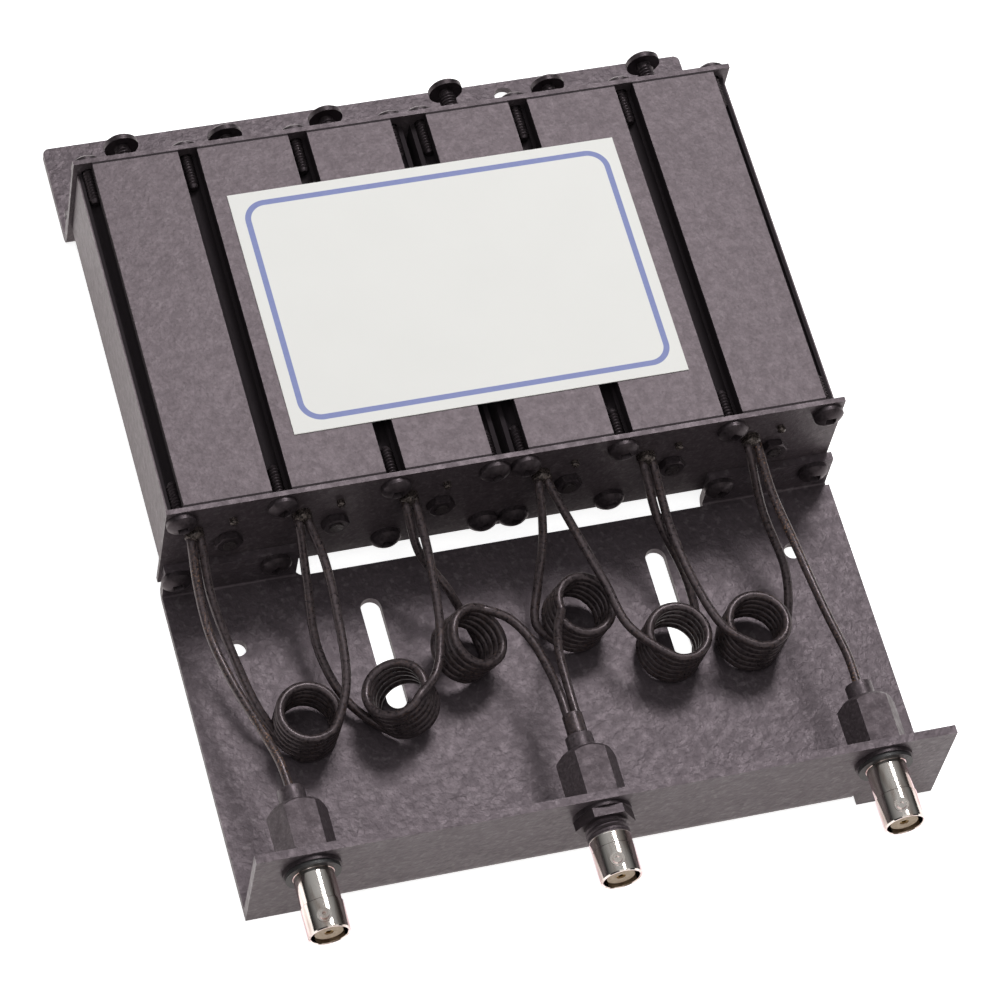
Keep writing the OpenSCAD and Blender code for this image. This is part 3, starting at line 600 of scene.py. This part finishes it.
# %% Thread of the middle socket's neck
neck_start_y, neck_l, neck_r = -61.3, 3.3, 4.75
neck_pitch, neck_from = 1.0, 0.5
neck_thread = wind_thread("neck_thread", neck_r, neck_r + 0.5, neck_pitch, neck_from, neck_l, 32)
place_copy(neck_thread, "centre_neck_thread", (socket_x[2], neck_start_y, socket_z), TO_FRONT, 0,
           "duplexer", None)
bpy.data.objects.remove(neck_thread)
print("neck thread turns:", int((neck_l - neck_from) / neck_pitch))

# %% [markdown]
# ## Finishes
# Nearly everything is painted in one semi-gloss wrinkle paint, nearly black in itself. It looks
# grey where its skin of small soft lumps mirrors the large lamp, and dark where it doesn't. One
# node group makes the lumps and the mottled tone, and each painted part uses it at its own size.
# The group only gives colours and heights, and the shader stays in each material.

# %% Helpers for materials


def add_node(tree, kind, **values):
    node = tree.nodes.new(kind)
    for key, value in values.items():
        setattr(node, key, value)
    return node


def new_material(name):
    """A material with its Principled shader, and short ways to add and join nodes."""
    material = bpy.data.materials.new(name)
    material.use_nodes = True
    tree = material.node_tree
    return material, tree.nodes["Principled BSDF"], partial(add_node, tree), tree.links.new


def finish_node(name, material):
    """Puts the finish on a node of the frame, or on a piece."""
    thing = bpy.data.objects[name] if isinstance(name, str) else name
    thing.data.materials.clear()
    thing.data.materials.append(material)


def ramp(add, join, value, low, high, to_low=0.0, to_high=1.0):
    """Stretches a value between two limits over a new range."""
    node = add("ShaderNodeMapRange")
    for socket, number in (("From Min", low), ("From Max", high), ("To Min", to_low),
                           ("To Max", to_high)):
        node.inputs[socket].default_value = number
    join(value, node.inputs["Value"])
    return node.outputs[0]


def mixed(add, join, share, a, b):
    """Mixes two colours or numbers, each given or joined, by a share."""
    colour = isinstance(a, tuple) or getattr(a, "type", "") == "RGBA"
    node = add("ShaderNodeMix", data_type="RGBA" if colour else "FLOAT")
    for socket, value in (("Factor", share), ("A", a), ("B", b)):
        target = next(s for s in node.inputs if s.name == socket and s.enabled)
        if isinstance(value, tuple):
            target.default_value = (*value, 1)
        elif isinstance(value, (int, float)):
            target.default_value = value
        else:
            join(value, target)
    return next(s for s in node.outputs if s.enabled)


def maths(add, join, kind, a, b=None):
    """One sum on one or two values, each given or joined."""
    node = add("ShaderNodeMath", operation=kind)
    for socket, value in zip(node.inputs, (a, b)):
        if isinstance(value, (int, float)):
            socket.default_value = value
        elif value is not None:
            join(value, socket)
    return node.outputs[0]


def add_relief(add, join, shader, height, depth_mm):
    """Raises and sinks the shaded surface by a height, over a depth in millimetres."""
    relief = add("ShaderNodeBump")
    relief.inputs["Distance"].default_value = depth_mm * MM
    join(height, relief.inputs["Height"])
    join(relief.outputs["Normal"], shader.inputs["Normal"])


def new_group(name, inputs, outputs):
    group = bpy.data.node_groups.new(name, "ShaderNodeTree")
    for label, kind, value in inputs:
        socket = group.interface.new_socket(label, in_out="INPUT", socket_type=kind)
        socket.default_value = value
    for label, kind in outputs:
        group.interface.new_socket(label, in_out="OUTPUT", socket_type=kind)
    start = group.nodes.new("NodeGroupInput")
    end = group.nodes.new("NodeGroupOutput")
    return group, start, end, partial(add_node, group), group.links.new


def noise(add, join, place, scale, detail=2.0, distortion=0.0):
    """Noise over the object; the scale is a number, in bumps per metre, or another node's."""
    node = add("ShaderNodeTexNoise")
    node.inputs["Detail"].default_value = detail
    node.inputs["Distortion"].default_value = distortion
    join(place, node.inputs["Vector"])
    if isinstance(scale, (int, float)):
        node.inputs["Scale"].default_value = scale
    else:
        join(scale, node.inputs["Scale"])
    return node.outputs["Fac"]


FLOAT, COLOUR = "NodeSocketFloat", "NodeSocketColor"

# %% Wrinkle paint
FLECK = (0.30, 0.27, 0.28)


def build_wrinkle_group():
    """Lumps of one size, thinner and thicker patches, and a few light flecks."""
    group, start, end, add, join = new_group(
        "wrinkle_paint",
        [("Lumps per metre", FLOAT, 900.0), ("Dark", COLOUR, (0.05, 0.04, 0.045, 1)),
         ("Light", COLOUR, (0.1, 0.09, 0.095, 1)), ("Gloss low", FLOAT, 0.35),
         ("Gloss high", FLOAT, 0.6), ("Flecks", FLOAT, 0.1)],
        [("Color", COLOUR), ("Roughness", FLOAT), ("Height", FLOAT)])
    place = add("ShaderNodeTexCoord").outputs["Object"]
    per_metre = start.outputs["Lumps per metre"]
    lumps = noise(add, join, place, per_metre, detail=2.5, distortion=0.4)
    broader = maths(add, join, "MULTIPLY", per_metre, 0.4)
    peel = noise(add, join, place, broader, detail=1.0)
    join(maths(add, join, "ADD", lumps, peel), end.inputs["Height"])
    patches = ramp(add, join, noise(add, join, place, 420, detail=3.0), 0.36, 0.64)
    share = maths(add, join, "MULTIPLY", ramp(add, join, patches, 0, 1, 0.72, 1.0),
                  ramp(add, join, lumps, 0.32, 0.66))
    tone = mixed(add, join, share, start.outputs["Dark"], start.outputs["Light"])
    finer = maths(add, join, "MULTIPLY", per_metre, 0.8)
    flecks = ramp(add, join, noise(add, join, place, finer, detail=1.0), 0.58, 0.70)
    amount = maths(add, join, "MULTIPLY", flecks, start.outputs["Flecks"])
    join(mixed(add, join, amount, tone, FLECK), end.inputs["Color"])
    join(mixed(add, join, patches, start.outputs["Gloss high"], start.outputs["Gloss low"]),
         end.inputs["Roughness"])
    return group


wrinkle_group = build_wrinkle_group()
print("group", wrinkle_group.name, "sockets", len(wrinkle_group.interface.items_tree))

# %% Painted parts
PAINT_SHEEN = (1, 0.835, 0.915, 1)
JACKET_SHEEN = (1, 0.84, 0.90, 1)


def add_paint(add, lump_mm, gloss, flecks, dark, light):
    """The paint's group node, with its values set."""
    paint = add("ShaderNodeGroup", node_tree=wrinkle_group)
    for socket, value in (("Lumps per metre", 1 / (lump_mm * MM)), ("Dark", (*dark, 1)),
                          ("Light", (*light, 1)), ("Gloss low", gloss[0]),
                          ("Gloss high", gloss[1]), ("Flecks", flecks)):
        paint.inputs[socket].default_value = value
    return paint


def wrinkle_paint(name, lump_mm, gloss, flecks, relief_mm, dark, light):
    """A painted part's material, its lumps and their relief given in millimetres."""
    material, shader, add, join = new_material(name)
    paint = add_paint(add, lump_mm, gloss, flecks, dark, light)
    join(paint.outputs["Color"], shader.inputs["Base Color"])
    join(paint.outputs["Roughness"], shader.inputs["Roughness"])
    shader.inputs["Specular Tint"].default_value = PAINT_SHEEN
    add_relief(add, join, shader, paint.outputs["Height"], relief_mm)
    return material


tray_paint = wrinkle_paint("tray_paint", 1.1, (0.39, 0.48), 0.17, 0.15,
                           (0.050, 0.041, 0.046), (0.074, 0.060, 0.068))
plate_paint = wrinkle_paint("plate_paint", 0.75, (0.38, 0.50), 0.15, 0.06,
                            (0.040, 0.032, 0.036), (0.076, 0.061, 0.068))
print("paints:", tray_paint.name, plate_paint.name)

# %% [markdown]
# The housings have the same paint. Shade is painted into the bottoms of their open screw channels,
# and a painted shadow line stands for the shaded groove beside each end plate. Both are masks on
# the place of a point: deep inside the outline, or close to an end.

# %% Housing paint
block_top = 36.4
seam_x = -1.4
end_plate_t = 1.2
housing_half_w, housing_half_l, joint_w = 79.2, 46.85, 0.5
# Painted shade: the near-black that stands for the shade deep in the channels and in the groove
# beside each end plate.
PAINTED_SHADE = (0.008, 0.0065, 0.0075)


def build_housing_paint():
    material, shader, add, join = new_material("housing_paint")
    paint = add_paint(add, 0.85, (0.44, 0.50), 0.13, (0.072, 0.059, 0.064),
                      (0.114, 0.093, 0.102))
    calc = partial(maths, add, join)
    split = add("ShaderNodeSeparateXYZ")
    join(add("ShaderNodeTexCoord").outputs["Object"], split.inputs[0])
    middle_y = block_front_y + end_plate_t + housing_half_l
    across = calc("ABSOLUTE", calc("SUBTRACT", split.outputs[0], seam_x * MM))
    along = calc("ABSOLUTE", calc("SUBTRACT", split.outputs[1], middle_y * MM))
    inside = ramp(add, join, across, (housing_half_w - 0.2) * MM, (housing_half_w - 0.4) * MM)
    deep = ramp(add, join, split.outputs[2], (block_top - 0.15) * MM, (block_top - 0.9) * MM)
    joint = ramp(add, join, along, (housing_half_l - joint_w - 0.1) * MM,
                 (housing_half_l - joint_w) * MM, 0, 0.9)
    # Painted shade in the channels' depths and along the joint at each end plate.
    painted_shade = calc("MAXIMUM", calc("MULTIPLY", inside, deep), joint)
    join(mixed(add, join, painted_shade, paint.outputs["Color"], PAINTED_SHADE), shader.inputs["Base Color"])
    join(mixed(add, join, painted_shade, paint.outputs["Roughness"], 0.85), shader.inputs["Roughness"])
    shader.inputs["Specular Tint"].default_value = PAINT_SHEEN
    add_relief(add, join, shader, paint.outputs["Height"], 0.085)
    return material


housing_paint = build_housing_paint()
for node in ("tray", "rear_bracket"):
    finish_node(node, tray_paint)
for node in ("left_housing", "right_housing"):
    finish_node(node, housing_paint)
for node in ("left_front_plate", "right_front_plate", "left_rear_plate", "right_rear_plate"):
    finish_node(node, plate_paint)
print("housings:", housing_paint.name)

# %% [markdown]
# ## The label
# A white film with a blue line round it. The line is drawn from the distance to a rectangle with
# round corners, worked out in the material from the place of each point, so it stays sharp at
# any size and needs no picture.

# %% Label
label_low, label_high = (Vector(v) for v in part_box("label"))
label_middle = (label_low + label_high) / 2


def build_label():
    material, shader, add, join = new_material("label_film")
    half = (label_high - label_low) / 2
    inset, line_w, corner, edge = 3.3 * MM, 1.4 * MM, 4.6 * MM, 0.04 * MM
    place = add("ShaderNodeTexCoord").outputs["Object"]
    split = add("ShaderNodeSeparateXYZ")
    join(place, split.inputs[0])

    calc = partial(maths, add, join)
    sides = []
    for axis, centre, reach in ((0, label_middle.x, half.x), (1, label_middle.y, half.y)):
        away = calc("ABSOLUTE", calc("SUBTRACT", split.outputs[axis], centre))
        sides.append(calc("SUBTRACT", away, reach - inset - corner))
    outside = [calc("MAXIMUM", side, 0) for side in sides]
    squares = [calc("MULTIPLY", side, side) for side in outside]
    round_part = calc("SQRT", calc("ADD", *squares))
    flat_part = calc("MINIMUM", calc("MAXIMUM", *sides), 0)
    distance = calc("SUBTRACT", calc("ADD", round_part, flat_part), corner)
    mask = ramp(add, join, calc("ABSOLUTE", distance), line_w / 2 + edge, line_w / 2 - edge)
    film = mixed(add, join, noise(add, join, place, 60, detail=3.0), (0.79, 0.785, 0.76),
                 (0.76, 0.755, 0.73))
    ink = mixed(add, join, noise(add, join, place, 900, detail=2.0), (0.165, 0.200, 0.450),
                (0.210, 0.245, 0.490))
    join(mixed(add, join, mask, film, ink), shader.inputs["Base Color"])
    join(ramp(add, join, noise(add, join, place, 2500), 0, 1, 0.48, 0.62),
         shader.inputs["Roughness"])
    return material


label_film = build_label()
finish_node("label", label_film)
print("label middle", [round(v / MM, 1) for v in label_middle])

# %% [markdown]
# ## Metals, plastics and rubber
# One function makes a plain finish with a fine grain in colour and gloss, so that no small part
# looks moulded in one flat tone. The blackened screws and nuts share the paint's mauve sheen.

# %% Small finishes


def grained(name, colour, other, metallic, gloss, size_mm, relief_mm=0.01, sheen=(1, 1, 1, 1)):
    material, shader, add, join = new_material(name)
    shader.inputs["Metallic"].default_value = metallic
    shader.inputs["Specular Tint"].default_value = sheen
    place = add("ShaderNodeTexCoord").outputs["Object"]
    grain = noise(add, join, place, 1 / (size_mm * MM), detail=3.0)
    spread = ramp(add, join, grain, 0.32, 0.68)
    join(mixed(add, join, spread, colour, other), shader.inputs["Base Color"])
    join(ramp(add, join, spread, 0, 1, *gloss), shader.inputs["Roughness"])
    add_relief(add, join, shader, grain, relief_mm)
    return material


black_steel = grained("black_steel", (0.014, 0.0112, 0.0125), (0.036, 0.029, 0.032), 0.15,
                      (0.34, 0.52), 0.6, 0.03, PAINT_SHEEN)
brass = grained("brass", (0.62, 0.44, 0.18), (0.50, 0.34, 0.13), 1.0, (0.22, 0.38), 0.6, 0.004)
solder = grained("solder", (0.024, 0.019, 0.019), (0.13, 0.105, 0.095), 0.6, (0.14, 0.40), 0.45,
                 0.05)
ptfe = grained("ptfe", (0.80, 0.78, 0.72), (0.74, 0.71, 0.64), 0.0, (0.38, 0.5), 1.0)
resin = grained("resin", (0.46, 0.34, 0.22), (0.36, 0.26, 0.17), 0.0, (0.40, 0.55), 0.8)
black_rubber = grained("black_rubber", (0.014, 0.013, 0.014), (0.026, 0.024, 0.026), 0.0,
                       (0.42, 0.6), 0.5, 0.012)
for slot_material, nodes in (
        (black_steel, ["front_top_screws", "front_bottom_screws", "rear_top_screws",
                       "rear_bottom_screws", "resonator_nuts", "tuning_lock_nuts",
                       "connector_washers", "centre_nut"]
         + [f"tuning_screw_{i}" for i in range(1, 7)]),
        (brass, ["connector_contacts"]),
        (solder, ["coupling_loops"]),
        (ptfe, ["loop_bushes"] + [f"tuning_sleeve_{i}" for i in range(1, 7)]),
        (resin, ["connector_dielectrics"]),
        (black_rubber, ["connector_seals"])):
    for node in nodes:
        finish_node(node, slot_material)
for piece in pieces:
    finish_node(piece, solder if piece.name.startswith("solder") else black_steel)
print("finished pieces:", len(pieces))

# %% [markdown]
# ## Parts with two finishes
# Some turned parts are plated at one end and dark at the other: the resonators' silver stops at
# the front plate, where their studs were painted over with the plates.

# %% Resonators


def stud_finish():
    material, shader, add, join = new_material("silver_with_dark_studs")
    split = add("ShaderNodeSeparateXYZ")
    place = add("ShaderNodeTexCoord").outputs["Object"]
    join(place, split.inputs[0])
    stud = ramp(add, join, split.outputs[1], block_front_y * MM, (block_front_y - 0.1) * MM)
    grain = noise(add, join, place, 1500, detail=3.0)
    silver = mixed(add, join, grain, (0.78, 0.77, 0.74), (0.66, 0.64, 0.60))
    dark = mixed(add, join, grain, (0.016, 0.013, 0.014), (0.075, 0.062, 0.062))
    join(mixed(add, join, stud, silver, dark), shader.inputs["Base Color"])
    join(ramp(add, join, stud, 0, 1, 1, 0.3), shader.inputs["Metallic"])
    join(ramp(add, join, grain, 0.3, 0.7, 0.24, 0.42), shader.inputs["Roughness"])
    return material


resonator_finish = stud_finish()
for node in ("left_resonators", "right_resonators"):
    finish_node(node, resonator_finish)
print("resonators:", resonator_finish.name)

# %% [markdown]
# ## Sockets
# The barrels are bright nickel, but the hexagon bodies behind the flange were sprayed together with
# the tray. Both finishes are on one turned part, so its material goes over from metal to paint at
# a place along Y. The middle socket's threaded neck is black up to its end.

# %% Nickel in front, paint behind


def part_painted(name, paint_behind_y, soft_mm=0.15):
    material, shader, add, join = new_material(name)
    place = add("ShaderNodeTexCoord").outputs["Object"]
    split = add("ShaderNodeSeparateXYZ")
    join(place, split.inputs[0])
    painted = ramp(add, join, split.outputs[1], (paint_behind_y - soft_mm) * MM,
                   (paint_behind_y + soft_mm) * MM)
    paint = add_paint(add, 0.7, (0.44, 0.58), 0.12, (0.032, 0.025, 0.028),
                      (0.070, 0.056, 0.062))
    shader.inputs["Specular Tint"].default_value = PAINT_SHEEN
    drawn = add("ShaderNodeMapping")
    drawn.inputs["Scale"].default_value = (1, 0.2, 1)
    join(place, drawn.inputs["Vector"])
    stains = noise(add, join, drawn.outputs[0], 500, detail=3.0)
    bright = mixed(add, join, ramp(add, join, stains, 0.42, 0.68), (0.74, 0.70, 0.66),
                   (0.42, 0.35, 0.31))
    join(mixed(add, join, painted, bright, paint.outputs["Color"]), shader.inputs["Base Color"])
    join(ramp(add, join, painted, 0, 1, 1, 0), shader.inputs["Metallic"])
    shine = ramp(add, join, stains, 0.3, 0.7, 0.07, 0.16)
    join(mixed(add, join, painted, shine, paint.outputs["Roughness"]),
         shader.inputs["Roughness"])
    lumps = maths(add, join, "MULTIPLY", painted, paint.outputs["Height"])
    add_relief(add, join, shader, lumps, 0.08)
    return material


outer_socket = part_painted("outer_socket", -58.2)
centre_socket = part_painted("centre_socket", -64.6)
for i, finish in ((1, outer_socket), (2, centre_socket), (3, outer_socket)):
    finish_node(f"connector_{i}", finish)
ferrule_paint = wrinkle_paint("ferrule_paint", 0.7, (0.34, 0.5), 0.15, 0.03,
                              (0.030, 0.024, 0.027), (0.075, 0.060, 0.066))
finish_node("cable_ferrules", ferrule_paint)
print("sockets:", outer_socket.name, centre_socket.name)

# %% [markdown]
# ## Cable jackets
# The jackets are black plastic that has rubbed dull. Fine copper-coloured grains of the braid
# shine through in worn patches, most of all on the two straight leads.

# %% Jackets
BRAID = (0.30, 0.17, 0.10)


def cable_jacket(name, rubbed):
    material, shader, add, join = new_material(name)
    place = add("ShaderNodeTexCoord").outputs["Object"]
    grain = noise(add, join, place, 1400, detail=3.0)
    tone = mixed(add, join, ramp(add, join, grain, 0.35, 0.65), (0.015, 0.0118, 0.013),
                 (0.058, 0.046, 0.048))
    grains = ramp(add, join, noise(add, join, place, 2300, detail=1.0), 0.56, 0.66)
    worn = ramp(add, join, noise(add, join, place, 90, detail=2.0), 0.40, 0.60, 0.25, 1.0)
    shown = maths(add, join, "MULTIPLY", maths(add, join, "MULTIPLY", grains, worn), rubbed)
    join(mixed(add, join, shown, tone, BRAID), shader.inputs["Base Color"])
    join(ramp(add, join, grain, 0.3, 0.7, 0.24, 0.44), shader.inputs["Roughness"])
    shader.inputs["Specular Tint"].default_value = JACKET_SHEEN
    add_relief(add, join, shader, grain, 0.03)
    return material


jacket = cable_jacket("cable_jacket", 0.14)
rubbed_jacket = cable_jacket("rubbed_jacket", 0.7)
for node in (["pair_sleeve", "lead_1", "lead_3"]
             + [f"{kind}_{i}" for kind in ("tails", "coil") for i in range(1, 7)]):
    finish_node(node, jacket)
for cable in cables:
    finish_node(cable, rubbed_jacket if cable.name.startswith("lead") else jacket)
print("cables:", len(cables))

# %% [markdown]
# ## Floor and light
# The picture was taken on white. The floor stays a real surface that takes the shadow, and its
# own light seen by the camera brings the open ground up to white. The key lamp stands back right,
# where the camera sees it mirrored in every level surface: that is what turns the dark paint grey
# and draws the shadows of the cables towards the front left. Weaker lamps fill from above and
# from the front.

# %% Floor
floor_size, floor_z = 6, -0.0002
bpy.ops.object.select_all(action="DESELECT")
bpy.ops.mesh.primitive_plane_add(size=floor_size, location=(0, 0, floor_z))
floor = bpy.context.object
floor.name = "floor"
own_light = 0.85
WARM_GROUND = (1, 0.93, 0.90)


def build_floor():
    material, shader, add, join = new_material("floor")
    shader.inputs["Base Color"].default_value = (0.86, 0.86, 0.86, 1)
    shader.inputs["Roughness"].default_value = 0.9
    seen = add("ShaderNodeLightPath")
    calc = partial(maths, add, join)
    glossy = seen.outputs["Is Glossy Ray"]
    any_of = calc("MAXIMUM", calc("MAXIMUM", seen.outputs["Is Camera Ray"], glossy),
                  seen.outputs["Is Transmission Ray"])
    join(mixed(add, join, glossy, (1, 1, 1), WARM_GROUND), shader.inputs["Emission Color"])
    join(calc("MULTIPLY", any_of, own_light), shader.inputs["Emission Strength"])
    return material


finish_node(floor, build_floor())
print("floor at z", floor_z)

# %% Lamps
look_at = Vector((0, 0.02, 0.02))


def soft_lamp(name, direction, distance, size, watts, tint=(1, 1, 1)):
    """A square soft lamp that looks at the middle of the object."""
    data = bpy.data.lights.new(name, "AREA")
    data.shape = "SQUARE"
    data.size = size
    data.energy = watts
    data.color = tint
    lamp = bpy.data.objects.new(name, data)
    bpy.context.scene.collection.objects.link(lamp)
    place = look_at + Vector(direction).normalized() * distance
    lamp.matrix_world = (Matrix.Translation(place)
                         @ (look_at - place).to_track_quat("-Z", "Y").to_matrix().to_4x4())


mirrored = (line_of_sight.x, line_of_sight.y, -line_of_sight.z)
soft_lamp("key", mirrored, distance=1.35, size=0.40, watts=10)
soft_lamp("fill_top", (-0.35, -0.1, 1), distance=1.6, size=1.2, watts=4.4)
soft_lamp("fill_front", (0.25, -1, 0.55), distance=1.5, size=1.0, watts=2.5,
          tint=(1, 0.96, 0.92))

# %% [markdown]
# The sky grows from nearly black at the horizon to a soft grey overhead. Its strength follows the
# height of the direction looked in, so every shiny barrel mirrors a dark band and a light one.

# %% Sky
world = bpy.data.worlds.new("studio")
bpy.context.scene.world = world
world.use_nodes = True
background = world.node_tree.nodes["Background"]
background.inputs["Color"].default_value = (1, 1, 1, 1)
add_sky, join_sky = partial(add_node, world.node_tree), world.node_tree.links.new
direction = add_sky("ShaderNodeSeparateXYZ")
join_sky(add_sky("ShaderNodeTexCoord").outputs["Generated"], direction.inputs[0])
join_sky(ramp(add_sky, join_sky, direction.outputs["Z"], 0.2, 0.9, 0.04, 0.44),
         background.inputs["Strength"])
bpy.context.scene.view_settings.view_transform = "Standard"
